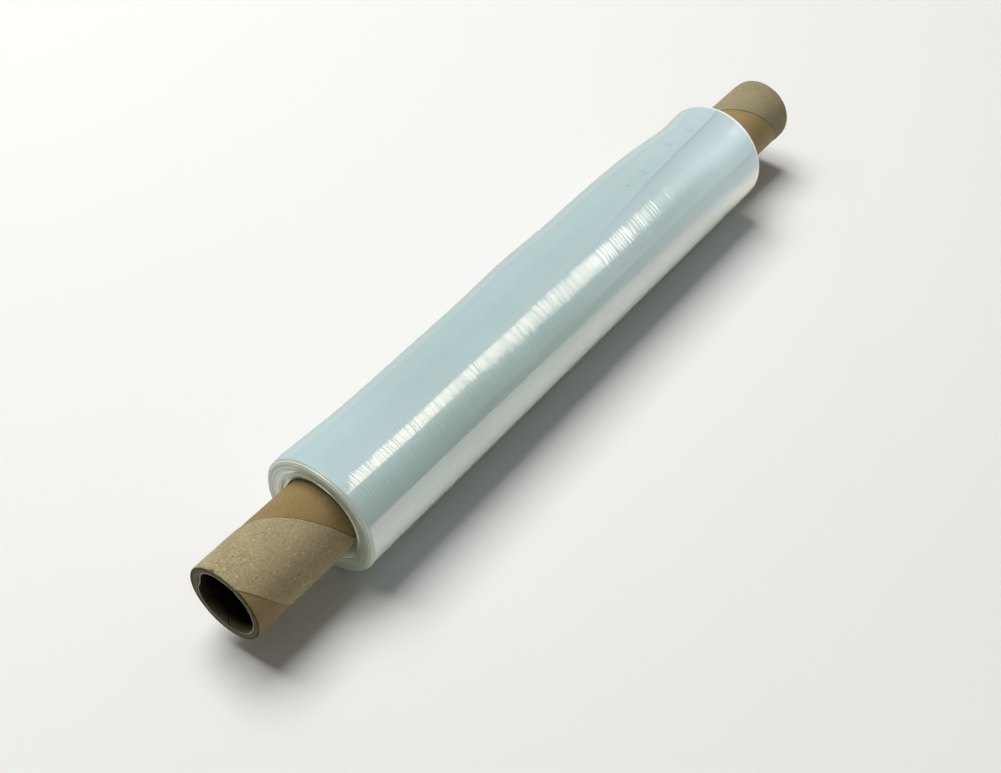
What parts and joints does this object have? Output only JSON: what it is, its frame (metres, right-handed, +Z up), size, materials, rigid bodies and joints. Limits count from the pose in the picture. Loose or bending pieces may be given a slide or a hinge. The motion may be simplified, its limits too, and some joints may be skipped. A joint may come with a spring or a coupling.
{
  "type": "stretch wrap roll",
  "caption": "Hand roll of clear stretch film, wound on a long spiral-wound paperboard core that stands out at both ends as grips.",
  "frame": {"origin": "on the surface the roll lies on, under the middle of the core", "axes": "+X along the core from the near mouth in the picture to the far one, +Y to the back, away from the side the picture is taken from, +Z up"},
  "size_m": [0.539, 0.076, 0.0754],
  "materials": {
    "core_board": "matte",
    "stretch_film": "glossy, milky where it is many turns deep"
  },
  "bodies": {
    "root": {"core_tube": "core_board", "wound_film": "stretch_film"}
  },
  "joints": []
}
